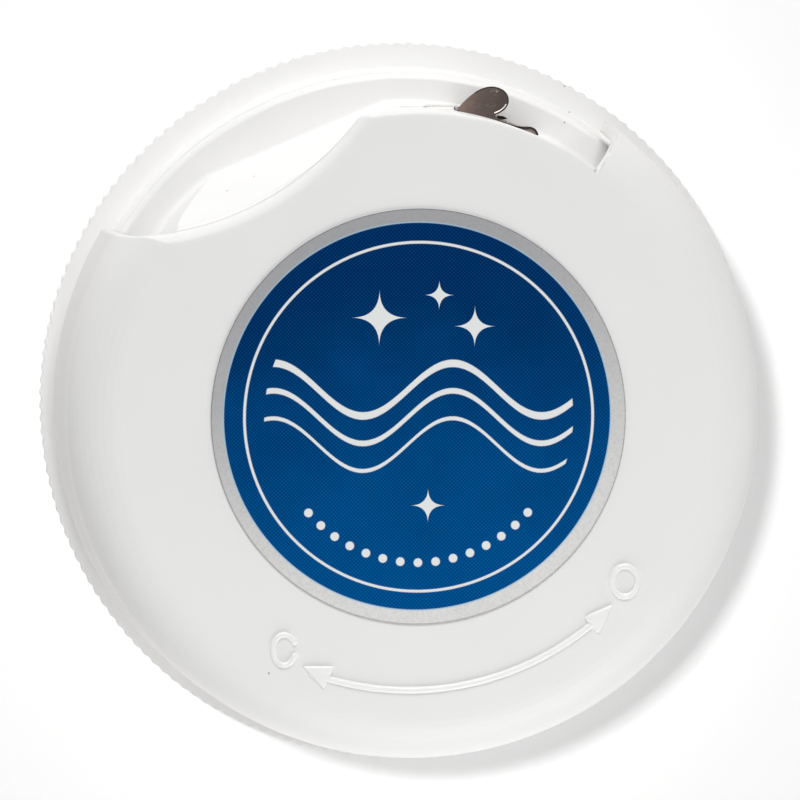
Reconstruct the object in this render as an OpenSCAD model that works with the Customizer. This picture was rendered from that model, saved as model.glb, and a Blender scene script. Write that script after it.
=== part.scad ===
// Dental floss dispenser with a turning cover. A knurled base carries a drum with a
// finger recess, a bobbin of floss turns inside the drum, and a cup-shaped cover with a
// window turns on top. Turned one way the window shows the recess, the outlet and the
// cutter; turned the other way the cover hides them.
// Millimetres. The back rests on Z = 0, the axis is Z and the finger recess faces +Y.
// Angles are counter-clockwise from +X, seen from the front.

/* [Base] */
// Radius of the rim over its ridges
rim_r = 31; // [30.6:0.1:33]
// Height of the rim
rim_h = 3.9; // [3:0.1:4.5]
// Size of the bevel under the rim
rim_bevel = 1.2; // [0.6:0.1:1.3]
// Number of ridges round the rim
ridge_count = 172; // [120:4:200]
// Depth of the grooves between the ridges
ridge_depth = 0.18; // [0.1:0.02:0.4]
// Thickness of the base's floor
floor_t = 1.2; // [0.8:0.1:1.5]
// Wall of the base
base_wall = 1.2; // [0.8:0.1:1.3]
// Width of the rim outside the low wall
rim_w = 2.2; // [1.8:0.1:2.5]
// How much the low wall narrows on its way up to the step
low_wall_draft = 0.5; // [0.3:0.1:1]

/* [Drum] */
// Width of the step round the drum's top
step_w = 2.9; // [2.8:0.1:3.2]
// How much wider the drum is at its foot
drum_draft = 0.25; // [0:0.05:0.4]
// Thickness of the drum's top
drum_top_t = 1.3; // [1:0.1:1.6]
// Thickness of the drum's wall
drum_wall = 1.3; // [1:0.1:1.5]
// Height of the step round the drum above the back
step_z = 7.5; // [7:0.1:7.7]
// Thickness of the step
step_t = 1.2; // [0.9:0.1:1.4]
// Fillet between the drum and the step
foot_fillet = 0.6; // [0.3:0.1:0.9]
// Rounding of the drum's top edge and of the step's edge
edge_round = 0.4; // [0.2:0.1:0.5]
// Length of the skirt that snaps into the base
snap_skirt_h = 2.4; // [2:0.1:3]
// Wall of the snap skirt
snap_skirt_t = 1; // [0.8:0.1:1.2]
// Radius of the snap bead
bead_r = 0.2; // [0.15:0.05:0.3]

/* [Finger recess] */
// Radius of the recess's round upper edge
recess_r = 23.7; // [21:0.1:27]
// Depth of the recess at that edge
recess_depth = 3.1; // [2.6:0.1:3.4]
// Depth of the recess at its straight foot
foot_depth = 1; // [0.6:0.1:1.5]
// Direction of the foot's middle
foot_dir = 81; // [79:0.5:90]
// Half the length over which the foot's line is drawn
recess_half_w = 20; // [16:0.5:26]
// Rounding of the upper edge
recess_lip = 0.8; // [0.2:0.1:1]

/* [Turning cover] */
// Height of the cover's face above the back
face_z = 20; // [19.9:0.1:21]
// Thickness of the cover's face
face_t = 1.2; // [1:0.1:1.3]
// Height of the skirt's lower edge above the rim
skirt_lift = 2.6; // [1.6:0.1:4]
// How far the rim stands out beyond the skirt
rim_stand = 1.07; // [0.6:0.01:1.1]
// Lean of the skirt
skirt_lean = 4.3; // [3:0.1:5]
// Thickness of the skirt
skirt_t = 1; // [0.8:0.05:1.1]
// Rounding between face and skirt
face_round = 4.3; // [3:0.1:4.8]
// How far the window's inner edge stands out over the drum
window_out = 0.05; // [0:0.05:0.15]
// Direction of the window's straight end
window_from = 22.1; // [16:0.1:28]
// Half the side of the square bar that bevels the straight end
window_bevel = 0.14; // [0.1:0.02:0.3]
// Length of that bevel
bevel_reach = 2.4; // [1.5:0.1:2.8]
// How far the scoop stays behind the recess's wall
scoop_set = 0.3; // [0:0.1:0.5]
// Rounding of the scoop's lip
scoop_lip = 1; // [0.3:0.1:1.1]
// Rounding of the window's inner edge
window_lip = 0.3; // [0.1:0.05:0.5]
// How far the cover turns clockwise to close
close_turn = 90; // [84:1:100]

/* [Pivot] */
// Radius of the cover's snap stud
stud_r = 3; // [2.5:0.1:3.6]
// Running clearance of the stud in its bore
stud_fit = 0.05; // [0.02:0.01:0.09]
// How far the stud's barbs stand out
barb = 0.35; // [0.2:0.05:0.5]
// Length of the barbed end
barb_h = 1.4; // [1.2:0.1:1.5]
// Width of the slits that let the stud spring
slit_w = 0.8; // [0.5:0.1:1]
// Radius of the hollow in the stud
stud_hollow_r = 1.4; // [1:0.1:1.6]
// Distance of the stop peg from the axis
peg_at = 12; // [9:0.5:15]
// Radius of the stop peg
peg_r = 0.8; // [0.6:0.1:1.2]
// Direction of the stop peg with the cover open
peg_dir = 225; // [220:1:250]

/* [Cutter] */
// Direction of the cutter's middle
cutter_dir = 40.4; // [39.5:0.1:41.5]
// Length of the cutter's plate
cutter_w = 7.2; // [6.8:0.1:7.5]
// Thickness of the steel
cutter_t = 0.2; // [0.15:0.05:0.35]
// Height of the cutter's upper face above the back
cutter_z = 10.3; // [10:0.1:11]
// How far the plate stands out of the drum's wall
plate_out = 0.03; // [0.01:0.01:0.1]
// How far the tongue reaches out from the plate
tongue_reach = 2.66; // [2.2:0.02:2.8]
// Width of the tongue at its root
tongue_w = 3.6; // [3:0.1:3.8]
// How far the curled end stands off the drum
curl_out = 0.34; // [0.2:0.02:0.6]

/* [Floss] */
// Diameter of the floss
floss_d = 0.3; // [0.25:0.05:0.5]
// Direction of the outlet's middle
outlet_dir = 56.9; // [56:0.1:58]
// Width of the outlet
outlet_w = 2.4; // [2.2:0.1:3]
// Height of the outlet
outlet_h = 1; // [0.9:0.1:1.4]
// How far past the plate's near end the floss reaches under the tongue
floss_hold = 1.6; // [1:0.1:2.4]
// How far the flanges stand out over the wound floss
flange_stand = 1.5; // [1:0.1:4]
// How much the winding swells at its middle
winding_crown = 0.25; // [0:0.05:0.4]

/* [Bobbin] */
// Radius of the post that the bobbin turns on
post_r = 4; // [3.5:0.1:5]
// Wall of the post
post_wall = 1.2; // [0.8:0.1:1.4]
// Running clearance of the bobbin on its post
post_fit = 0.06; // [0.02:0.01:0.09]
// Radius of the bobbin's hub
hub_r = 6; // [5.6:0.1:7]
// Room between the flanges and the wall behind the recess
flange_room = 2.5; // [2:0.1:3]
// Thickness of the flanges
flange_t = 0.8; // [0.6:0.1:1.2]
// Radius of the lightening holes in the flanges
flange_hole_r = 2.2; // [1.5:0.1:2.6]
// Number of lightening holes in each flange
flange_holes = 6; // [4:1:8]

/* [Label] */
// Width of the face between the label and the scoop's lip
label_room = 3.6; // [2.5:0.1:5]
// Thickness of the label
label_t = 0.12; // [0.06:0.02:0.2]

/* [Hidden] */

$fn = 96;
white = [0.93, 0.93, 0.91];

// How far cuts run past what they cut
overrun = 1;
// Gap between turning parts that face each other
run_gap = 0.3;
// Gap between pieces that are put together and stay
seat_gap = 0.05;
// Gap between the floss and what it lies on
floss_gap = 0.05;

// Heights, worked down from the cover's face
face_under = face_z - face_t;
drum_top = face_under - run_gap;
chamber_top = drum_top - drum_top_t;
skirt_z = rim_h + skirt_lift;

// Radii, worked in from the rim
skirt_r = rim_r - rim_stand;
low_wall_r = rim_r - rim_w;
step_r = low_wall_r - low_wall_draft;
drum_r = step_r - step_w;
chamber_r = drum_r - drum_wall;
window_r = drum_r + window_out;
recess_near = drum_r - recess_depth;
recess_foot = drum_r - foot_depth;
recess_c = recess_near + recess_r;
scoop_r = recess_r + scoop_set;
label_r = recess_near - scoop_set - scoop_lip - label_room;
flange_r = recess_near - drum_wall - flange_room;
winding_r = flange_r - flange_stand;

// The drum's outer radius at a height
function drum_r_at(z) = drum_r + drum_draft * (drum_top - z) / (drum_top - step_z);
// The low wall's outer radius at a height: the drum's step carries the same line on
function low_wall_at(z) = low_wall_r - (low_wall_r - step_r) * (z - rim_h) / (step_z - rim_h);
// A point at a radius and an angle
function polar(r, a) = [r * cos(a), r * sin(a)];
// Points along an arc round c, from one angle to another
function arc(c, r, from, to, n) = [for (i = [0:n]) c + polar(r, from + (to - from) * i / n)];
// Points along a curve that leaves p for q and arrives at s from q, first to last of n parts
function curve(p, q, s, n, first = 0) = [for (i = [first:n]) let (t = i / n)
    p * (1 - t) * (1 - t) + q * 2 * t * (1 - t) + s * t * t];

step_under = step_z - step_t;
ledge_under = rim_h - base_wall;
snap_r = low_wall_at(step_under) - base_wall;
channel_in = snap_r + base_wall;
channel_out = rim_r - ridge_depth - base_wall;
skirt_out = snap_r - seat_gap;
bead_z = step_under - snap_skirt_h / 2;

// Heights on the post, worked up from the floor
thrust_z = floor_t + post_wall / 3;
bobbin_z = thrust_z + run_gap;
barb_z = chamber_top - run_gap / 2;
stud_end = barb_z - barb_h;
bobbin_top = stud_end - run_gap;
post_top = bobbin_top - run_gap;

// The skirt's wall: its direction, and the middle of its round lower edge
lean_out = [cos(skirt_lean), sin(skirt_lean)];
skirt_foot = [skirt_r - skirt_t / 2, skirt_z + skirt_t / 2];
// The bevel's slope, a chord of the rounding that it follows
bevel_slope = asin(bevel_reach / face_round) / 2;

// Cutter: the plate's outer and inner face, the sheet's underside and its left end
cutter_face = drum_r_at(cutter_z) + plate_out;
plate_in = cutter_face - cutter_t;
sheet_under = cutter_z - cutter_t;
plate_left = -cutter_w / 2;

// Tongue's outline, as shares of its width and reach from the left end of its root
tongue_shares = [[0, 0], [0.31, 1], [0.75, 1], [1.04, 1], [1.1, 0.65], [1.11, 0.38], [0.89, 0.15]];
// Spur beside the tongue, as shares of the same sizes
spur_shares = [[0.93, 0.09], [1.09, 0.14], [1.2, 0.15], [1.07, 0.06], [0.99, 0]];
// Curled end in plan, as shares of the plate's length and of curl_out
curl_shares = [[0.64, 0], [0.79, 0], [0.89, 1], [0.965, 1], [1, -0.2]];

// Floss: its height, the radius where it leaves the winding, and the one it runs at outside
floss_z = sheet_under - floss_gap - floss_d / 2;
leave_r = winding_r + winding_crown + 3 * floss_gap + floss_d / 2;
wall_run_r = drum_r_at(floss_z) + floss_gap + floss_d / 2;
leave_dir = outlet_dir + acos(leave_r / (chamber_r + drum_wall / 2));
wall_dir = leave_dir - acos(leave_r / wall_run_r);
bend = 2 * floss_d;
floss_sides = 8;

// Rim's outline with its ridges, as a wave round a circle
function ridge_outline(steps) = [for (i = [0:ridge_count * steps - 1])
    let (a = 360 * i / (ridge_count * steps))
    polar(rim_r - ridge_depth * (1 - cos(a * ridge_count)) / 2, a)];

// A round space, cut straight up round an axis, whose upper edge is rounded outward
module round_space(r, bottom, top, round) {
    rotate_extrude(convexity = 4)
        polygon(concat(
            [[0, top + overrun], [0, bottom], [r, bottom]],
            arc([r + round, top - round], round, 180, 90, 6),
            [[r + round, top + overrun]]
        ));
}

// The base's section. Its rim and bevel run past the ridged outline that trims them.
module base_profile() {
    polygon(concat(
        [
            [0, 0], [channel_in, 0], [channel_in, ledge_under], [channel_out, ledge_under],
            [channel_out, 0], [rim_r - rim_bevel, 0], [rim_r + overrun, rim_bevel + overrun],
            [rim_r + overrun, rim_h],
            [low_wall_r, rim_h], [low_wall_at(step_under), step_under], [snap_r, step_under]
        ],
        arc([snap_r, bead_z], bead_r + seat_gap, 90, -90, 6),
        [[snap_r, floor_t], [0, floor_t]]
    ));
}

module knurled_base() {
    color(white) {
        intersection() {
            rotate_extrude(convexity = 6)
                base_profile();
            translate([0, 0, -overrun])
                linear_extrude(height = step_z + overrun, convexity = 4)
                    polygon(ridge_outline(6));
        }
        difference() {
            union() {
                cylinder(h = thrust_z, r = hub_r);
                cylinder(h = post_top, r = post_r);
            }
            translate([0, 0, floor_t])
                cylinder(h = post_top, r = post_r - post_wall);
        }
    }
}

module drum_profile() {
    foot_r = drum_r_at(step_z);
    polygon(concat(
        [[stud_r + stud_fit, drum_top]],
        arc([drum_r - edge_round, drum_top - edge_round], edge_round, 90, 0, 5),
        arc([foot_r + foot_fillet, step_z + foot_fillet], foot_fillet, 180, 270, 6),
        arc([step_r - edge_round, step_z - edge_round], edge_round, 90, 0, 5),
        [[low_wall_at(step_under), step_under], [skirt_out, step_under]],
        arc([skirt_out, bead_z], bead_r, 90, -90, 6),
        [
            [skirt_out, step_under - snap_skirt_h],
            [skirt_out - snap_skirt_t, step_under - snap_skirt_h],
            [skirt_out - snap_skirt_t, step_under],
            [stud_r + stud_fit, step_under]
        ]
    ));
}

// The space of the recess, from a straight foot up to a round upper edge. It is grown
// inward by a wall where the chamber behind it keeps clear of it.
module recess_space(grow, z_foot, z_top) {
    hull() {
        translate([0, recess_c, z_top])
            cylinder(h = overrun, r = recess_r + grow);
        rotate([0, 0, foot_dir - 90]) {
            translate([-recess_half_w, recess_foot - grow + foot_fillet / 2, z_foot])
                cube([2 * recess_half_w, recess_r, overrun]);
            translate([-recess_half_w, recess_foot - grow, z_foot + foot_fillet])
                cube([2 * recess_half_w, recess_r, overrun]);
        }
    }
}

module stop_slot() {
    w = peg_r + run_gap;
    h = drum_top_t + 2 * overrun;
    translate([0, 0, chamber_top - overrun]) {
        rotate([0, 0, peg_dir - close_turn])
            rotate_extrude(angle = close_turn, convexity = 4)
                translate([peg_at - w, 0])
                    square([2 * w, h]);
        for (a = [peg_dir - close_turn, peg_dir])
            rotate([0, 0, a])
                translate([peg_at, 0, 0])
                    cylinder(h = h, r = w);
    }
}

// Slot with round ends through the wall, where the floss comes out
module outlet_cut() {
    reach = (outlet_w - outlet_h) / 2;
    rotate([0, 0, outlet_dir])
        translate([chamber_r - overrun, 0, floss_z])
            rotate([0, 90, 0]) {
                for (side = [-reach, reach])
                    translate([0, side, 0])
                        cylinder(h = drum_wall + 2 * overrun, r = outlet_h / 2);
                translate([-outlet_h / 2, -reach, 0])
                    cube([outlet_h, 2 * reach, drum_wall + 2 * overrun]);
            }
}

// Flat on the wall behind the cutter, and the slit in the step that holds its foot
module cutter_seat() {
    rotate([0, 0, cutter_dir - 90]) {
        translate([-cutter_w / 2 - seat_gap, plate_in - seat_gap, step_under - overrun])
            cube([cutter_w + 2 * seat_gap, cutter_t + 2 * seat_gap, overrun + step_t + seat_gap]);
        translate([-cutter_w / 2 - seat_gap, plate_in - seat_gap, step_z])
            cube([cutter_w + 2 * seat_gap, overrun, sheet_under - step_z + cutter_t + seat_gap]);
    }
}

module inner_drum() {
    color(white)
        difference() {
            rotate_extrude(convexity = 6)
                drum_profile();
            difference() {
                translate([0, 0, step_under - overrun])
                    cylinder(h = chamber_top - step_under + overrun, r = chamber_r);
                recess_space(drum_wall, step_under, chamber_top);
            }
            recess_space(0, step_z, drum_top - recess_lip);
            translate([0, recess_c, 0])
                round_space(recess_r, drum_top - recess_lip, drum_top, recess_lip);
            stop_slot();
            outlet_cut();
            cutter_seat();
        }
}

// Centre of the arc that rounds the corner between the skirt's line, which starts at the
// foot, and the flat face
function corner_centre(foot, top, round) = [
    foot[0] - (round + sin(skirt_lean) * (top - round - foot[1])) / cos(skirt_lean),
    top - round
];

module cover_profile() {
    inner_foot = skirt_foot - lean_out * skirt_t / 2;
    outer_foot = skirt_foot + lean_out * skirt_t / 2;
    inner_round = face_round - skirt_t;
    polygon(concat(
        [[0, face_z]],
        arc(corner_centre(outer_foot, face_z, face_round), face_round, 90, skirt_lean, 10),
        arc(skirt_foot, skirt_t / 2, skirt_lean, skirt_lean - 180, 8),
        arc(corner_centre(inner_foot, face_under, inner_round), inner_round, skirt_lean, 90, 8),
        [[0, face_under]]
    ));
}

// The window's sector, outside its inner edge, from its straight end to the scoop
module window_sector() {
    rotate([0, 0, window_from])
        rotate_extrude(angle = 90 - window_from, convexity = 4)
            polygon(concat(
                [[skirt_r + overrun, face_z + overrun], [skirt_r + overrun, 0], [window_r, 0]],
                arc([window_r - window_lip, face_z - window_lip], window_lip, 0, 90, 4),
                [[window_r - window_lip, face_z + overrun]]
            ));
}

// The scoop at the window's other end, which follows the edge of the finger recess
module window_scoop() {
    translate([0, recess_c, 0])
        round_space(scoop_r, 0, face_z, scoop_lip);
}

// A bar with a square section, laid on edge along the face's corner at the straight end
module end_bevel() {
    rotate([0, 0, window_from])
        translate([window_r - window_lip, 0, face_z])
            rotate([0, bevel_slope, 0])
                rotate([45, 0, 0])
                    translate([0, -window_bevel, -window_bevel])
                        cube([bevel_reach, 2 * window_bevel, 2 * window_bevel]);
}

module snap_stud() {
    difference() {
        rotate_extrude(convexity = 4)
            polygon([
                [0, face_under + face_t / 2], [stud_r, face_under + face_t / 2],
                [stud_r, barb_z], [stud_r + barb, barb_z],
                [stud_r + barb, barb_z - barb], [stud_r - barb, stud_end], [0, stud_end]
            ]);
        translate([0, 0, stud_end - overrun])
            cylinder(h = face_under - stud_end + overrun, r = stud_hollow_r);
        for (a = [0, 90])
            rotate([0, 0, a])
                translate([-stud_r - overrun, -slit_w / 2, stud_end - overrun])
                    cube([2 * (stud_r + overrun), slit_w, barb_z + drum_top_t / 2 - stud_end + overrun]);
    }
}

module turning_cover() {
    color(white) {
        difference() {
            difference() {
                rotate_extrude(convexity = 6)
                    cover_profile();
                window_sector();
            }
            window_scoop();
            end_bevel();
        }
        snap_stud();
        rotate([0, 0, peg_dir])
            translate([peg_at, 0, drum_top - drum_top_t / 2])
                cylinder(h = face_under + face_t / 2 - drum_top + drum_top_t / 2, r = peg_r);
    }
}

module front_label() {
    color([0.05, 0.3, 0.6])
        translate([0, 0, face_z])
            cylinder(h = label_t, r = label_r);
}

// A place on the cutter, from shares of two sizes, measured from the left end of its plate
function on_cutter(share, w, reach) = [plate_left + share[0] * w, cutter_face + share[1] * reach];

module tongue_sheet() {
    s = [for (share = tongue_shares) on_cutter(share, tongue_w, tongue_reach)];
    spur = [for (share = spur_shares) on_cutter(share, tongue_w, tongue_reach)];
    polygon(concat(
        [[s[0][0], plate_in]],
        curve(s[0], s[1], s[2], 10),
        curve(s[2], s[3], s[4], 8, 1),
        curve(s[4], s[5], s[6], 5, 1),
        spur,
        [[spur[4][0], plate_in]]
    ));
}

// The plate's sheet in plan: straight along the drum's wall, then curled
module plate_plan() {
    curl = [for (share = curl_shares) on_cutter(share, cutter_w, curl_out)];
    outside = concat(
        [[plate_left, cutter_face]],
        curve(curl[0], curl[1], curl[2], 6),
        curve(curl[2], curl[3], curl[4], 6, 1)
    );
    last = len(outside) - 1;
    inside = [for (i = [last:-1:0])
        let (along = outside[min(i + 1, last)] - outside[max(i - 1, 0)])
        outside[i] + [along[1], -along[0]] / norm(along) * cutter_t];
    polygon(concat(outside, inside));
}

module floss_cutter() {
    color([0.3, 0.26, 0.22])
        rotate([0, 0, cutter_dir - 90]) {
            translate([0, 0, sheet_under])
                linear_extrude(height = cutter_t)
                    tongue_sheet();
            translate([0, 0, step_z])
                linear_extrude(height = cutter_z - step_z)
                    plate_plan();
            translate([plate_left, plate_in, step_under])
                cube([cutter_w, cutter_t, step_t]);
        }
}

module bobbin() {
    color([0.86, 0.87, 0.88])
        difference() {
            union() {
                translate([0, 0, bobbin_z])
                    cylinder(h = bobbin_top - bobbin_z, r = hub_r);
                for (z = [bobbin_z, bobbin_top - flange_t])
                    translate([0, 0, z])
                        cylinder(h = flange_t, r = flange_r);
            }
            cylinder(h = face_z, r = post_r + post_fit);
            for (i = [0:flange_holes - 1])
                rotate([0, 0, 360 * i / flange_holes])
                    translate([(hub_r + winding_r) / 2, 0, 0])
                        cylinder(h = face_z, r = flange_hole_r);
        }
}

module floss_winding() {
    low = bobbin_z + flange_t;
    high = bobbin_top - flange_t;
    swell = [winding_r + 2 * winding_crown, (low + high) / 2];
    color([0.95, 0.95, 0.93])
        rotate_extrude(convexity = 4)
            polygon(concat(
                [[hub_r, low]],
                curve([winding_r, low], swell, [winding_r, high], 8),
                [[hub_r, high]]
            ));
}

// The floss's run in plan: off the winding, through the outlet, along the wall and
// over the plate to its hold under the tongue
function floss_run() =
    let (
        leave = polar(leave_r, leave_dir),
        turn = polar(wall_run_r, wall_dir),
        to_turn = (turn - leave) / norm(turn - leave),
        on_wall = polar(wall_run_r, wall_dir - bend / wall_run_r * 180 / PI),
        plate_d = cutter_face + floss_gap + floss_d / 2,
        plate_start = [plate_left, plate_d],
        plate_end = [plate_left + floss_hold, plate_d],
        spin = cutter_dir - 90,
        to_part = function (p) [p[0] * cos(spin) - p[1] * sin(spin), p[0] * sin(spin) + p[1] * cos(spin)]
    )
    concat(
        [leave],
        curve(turn - bend * to_turn, turn, on_wall, 4),
        [to_part(plate_start), to_part(plate_end)]
    );

// A round tube along a run of points at one height
module tube(run, z, d, sides) {
    n = len(run);
    points = [for (i = [0:n - 1])
        let (
            along = run[min(i + 1, n - 1)] - run[max(i - 1, 0)],
            side = [along[1], -along[0]] / norm(along)
        )
        for (k = [0:sides - 1])
            let (a = 360 * k / sides, out = cos(a) * d / 2)
            [run[i][0] + side[0] * out, run[i][1] + side[1] * out, z + sin(a) * d / 2]];
    walls = [for (i = [0:n - 2]) for (k = [0:sides - 1])
        let (a = i * sides + k, b = i * sides + (k + 1) % sides)
        each [[a, a + sides, b], [b, a + sides, b + sides]]];
    first_end = [for (k = [0:sides - 1]) k];
    last_end = [for (k = [sides - 1:-1:0]) (n - 1) * sides + k];
    polyhedron(points = points, faces = concat(walls, [first_end, last_end]), convexity = 6);
}

module floss_lead() {
    color([0.95, 0.95, 0.93])
        tube(floss_run(), floss_z, floss_d, floss_sides);
}

knurled_base();
inner_drum();
turning_cover();
front_label();
floss_cutter();
bobbin();
floss_winding();
floss_lead();
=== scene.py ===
# %% [markdown]
# # A floss dispenser with a turning cover
# This lesson dresses a round floss dispenser: a ridged base, a drum with a place for a
# fingertip, a steel cutter, and a cup-shaped cover that turns on top. The shapes come
# from a solid model, which is loaded as a fixed frame. What is made here is what a solid
# model leaves out: finishes, printing, raised marks, and the twist of the floss.
# Everything is in metres, with the back on the plane z = 0 and the axis along z.

import math

import bmesh
import bpy
import numpy as np
from mathutils import Matrix, Vector


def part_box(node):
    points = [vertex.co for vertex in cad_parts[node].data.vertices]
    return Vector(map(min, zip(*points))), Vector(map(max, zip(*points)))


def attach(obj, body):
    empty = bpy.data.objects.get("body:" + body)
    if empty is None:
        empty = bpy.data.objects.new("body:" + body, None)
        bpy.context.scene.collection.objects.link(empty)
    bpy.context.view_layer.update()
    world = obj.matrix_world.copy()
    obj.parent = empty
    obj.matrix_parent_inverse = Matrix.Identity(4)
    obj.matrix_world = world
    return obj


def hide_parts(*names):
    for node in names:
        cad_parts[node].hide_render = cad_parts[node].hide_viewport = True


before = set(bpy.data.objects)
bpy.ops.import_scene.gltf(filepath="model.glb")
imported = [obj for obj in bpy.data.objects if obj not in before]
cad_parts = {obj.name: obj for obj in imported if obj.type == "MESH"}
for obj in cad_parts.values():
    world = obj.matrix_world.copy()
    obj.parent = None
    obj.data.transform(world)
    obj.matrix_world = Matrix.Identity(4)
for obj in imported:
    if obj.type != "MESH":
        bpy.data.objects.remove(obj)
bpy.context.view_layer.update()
MM = 0.001

# %% [markdown]
# ## Camera
# A product shot like this one is taken from above with a long lens, leaning a little, so
# that a strip of the rim shows on one side. The camera is placed by what the picture
# gives: how far it leans, to which side, and where the middle of the face lands. It
# could be tracked to an empty, but three measured directions are easier to check.
# Directions in the picture are counter-clockwise from its right edge. The part is turned
# in the picture, so one angle leads from picture directions to the part's own.

# %% Camera
PIXELS = 800
PICTURE_TURN = 32.3
FACE_Z = 20 * MM
FACE_AT = (419, 417)
LEAN, LEAN_SIDE = 7.45, 142.5
DISTANCE = 450 * MM
FOCAL_PIXELS = 5395


def toward(picture_angle, elevation):
    """Unit vector towards a direction in the picture, at an elevation above the floor."""
    a, e = math.radians(picture_angle - PICTURE_TURN), math.radians(elevation)
    return Vector((math.cos(a) * math.cos(e), math.sin(a) * math.cos(e), math.sin(e)))


def aim_camera(lean, lean_side, distance, focal_pixels, face_at):
    """A camera that leans from the axis and sees the middle of the face at a pixel."""
    back = toward(lean_side, 90 - lean)
    right = toward(0, 0)
    right = (right - back * right.dot(back)).normalized()
    up = back.cross(right)
    scale = distance / focal_pixels
    x, y = (face_at[0] - PIXELS / 2) * scale, (PIXELS / 2 - face_at[1]) * scale
    place = Vector((0, 0, FACE_Z)) - right * x - up * y + back * distance
    camera = bpy.data.objects.new("camera", bpy.data.cameras.new("camera"))
    camera.data.sensor_width = 36
    camera.data.lens = focal_pixels * camera.data.sensor_width / PIXELS
    turn = Matrix((right, up, back)).transposed().to_4x4()
    camera.matrix_world = Matrix.Translation(place) @ turn
    bpy.context.scene.collection.objects.link(camera)
    bpy.context.scene.camera = camera
    return camera


camera = aim_camera(LEAN, LEAN_SIDE, DISTANCE, FOCAL_PIXELS, FACE_AT)
print("camera at", [round(x, 3) for x in camera.matrix_world.translation])

# %% [markdown]
# ## Light and floor
# The face and the recess are lit by a large panel from the top of the picture, and low
# panels all round keep the sides bright. They stand closer at the bottom, where the face
# gets lighter, and are weakest at the left and at the right, where the sides are darker.
# A sky texture or one big dome would be simpler, but would light every side alike. Each
# lamp is given the brightness that it adds to a white surface that faces it, so the sum
# on the face can be kept at 1 and nothing burns out. The lowest panels leave no mirror
# image, which would wash out the label in a view from the side, and they get smaller
# towards the floor, so that none of them cuts into it.

# %% Lamps
PANELS = [  # direction in the picture, elevation, distance, level
    (90, 40, 0.5, 0.66), (120, 40, 0.5, 0.12), (285, 40, 0.2, 0.14),
    (270, 20, 0.2, 0.29), (300, 20, 0.2, 0.29), (240, 9, 0.2, 0.12),
    (140, 12, 0.5, 0.19), (180, 9, 0.5, 0.03), (30, 9, 0.5, 0.15), (0, 9, 0.5, 0.045),
]
MIRRORED_ABOVE = 15
PANEL_SIZE = 0.5  # for each metre of distance
LOW_PANEL_SIZE = 1.6  # for each metre of height


def lamp(name, picture_angle, elevation, distance, size, level):
    """A square soft lamp that faces the cover and adds a level to a white surface."""
    data = bpy.data.lights.new(name, "AREA")
    data.size = size
    data.energy = level * (math.pi * distance) ** 2
    made = bpy.data.objects.new(name, data)
    away = toward(picture_angle, elevation) * distance
    made.location = away + Vector((0, 0, FACE_Z))
    made.rotation_mode = "QUATERNION"
    made.rotation_quaternion = away.to_track_quat("Z", "Y")
    made.visible_glossy = elevation > MIRRORED_ABOVE
    bpy.context.scene.collection.objects.link(made)
    return made


panels = []
for direction, elevation, distance, level in PANELS:
    size = distance * min(PANEL_SIZE, LOW_PANEL_SIZE * math.sin(math.radians(elevation)))
    name = f"panel_{direction}_{elevation}"
    panels.append(lamp(name, direction, elevation, distance, size, level))
print(len(panels), "panels")

# %% [markdown]
# ## Shader sums
# A finish is easier to read as sums than as a drawing of nodes. A wire is one socket of
# a shader tree that can stand in a Python expression, and each sign adds its Math node.
# One method adds any other node: first its settings, then its sockets.

# %% The wire
class Wire:
    """One output socket of a shader tree, which can be used in sums."""

    def __init__(self, socket):
        self.socket = socket

    @staticmethod
    def node(tree, kind, settings=None, values=None, out=0):
        """A new node of a kind, as the wire of one of its outputs."""
        made = tree.nodes.new("ShaderNode" + kind)
        for name, value in (settings or {}).items():
            if name == "stops":
                for i, (place, colour) in enumerate(value):
                    stops = made.color_ramp.elements
                    stop = stops[i] if i < 2 else stops.new(place)
                    stop.position, stop.color = place, (*colour, 1)
            else:
                setattr(made, name, value)
        for name, value in (values or {}).items():
            if isinstance(value, Wire):
                tree.links.new(value.socket, made.inputs[name])
            else:
                made.inputs[name].default_value = value
        return Wire(made.outputs[out])

    def also(self, kind, settings=None, values=None, out=0):
        """A node in the same tree."""
        return Wire.node(self.socket.id_data, kind, settings, values, out)

    def maths(self, operation, *more):
        """A Math node whose first value is this wire."""
        return self.also("Math", {"operation": operation}, dict(enumerate((self, *more))))

    def __add__(self, other):
        return self.maths("ADD", other)

    def __sub__(self, other):
        return self.maths("SUBTRACT", other)

    def __rsub__(self, other):
        return self.also("Math", {"operation": "SUBTRACT"}, {0: other, 1: self})

    def __mul__(self, other):
        return self.maths("MULTIPLY", other)

    def __truediv__(self, other):
        return self.maths("DIVIDE", other)

    def __rtruediv__(self, other):
        return self.also("Math", {"operation": "DIVIDE"}, {0: other, 1: self})

    def __abs__(self):
        return self.maths("ABSOLUTE")

    __radd__ = __add__
    __rmul__ = __mul__


print("a Wire can be added, subtracted, multiplied and divided")

# %% [markdown]
# ### Masks and lines
# Everything printed or worn on the part is a mask, a wire that is 1 on it and 0 beside
# it. A colour ramp could make each of them, but its stops hide how wide an edge is. A
# smooth step between two measured places says it in millimetres.

# %% Masks
SOFT = 0.05


def step(x, start, end):
    """0 before start, 1 after end, and smooth between them."""
    values = {"Value": x, "From Min": start, "From Max": end}
    return x.also("MapRange", {"interpolation_type": "SMOOTHSTEP"}, values)


def far(x, y):
    """Distance of a place from the middle."""
    return (x * x + y * y).maths("SQRT")


def line(distance, width):
    """1 on a stroke of a width, from the distance to its middle."""
    return 1 - step(abs(distance), width / 2 - SOFT, width / 2 + SOFT)


def mix(share, a, b):
    """Colour a where share is 0, colour b where it is 1."""
    a, b = (c if isinstance(c, Wire) else (*c, 1) for c in (a, b))
    return share.also("Mix", {"data_type": "RGBA"}, {0: share, 6: a, 7: b}, out=2)


print("lines have soft edges", 2 * SOFT, "mm wide")

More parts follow.
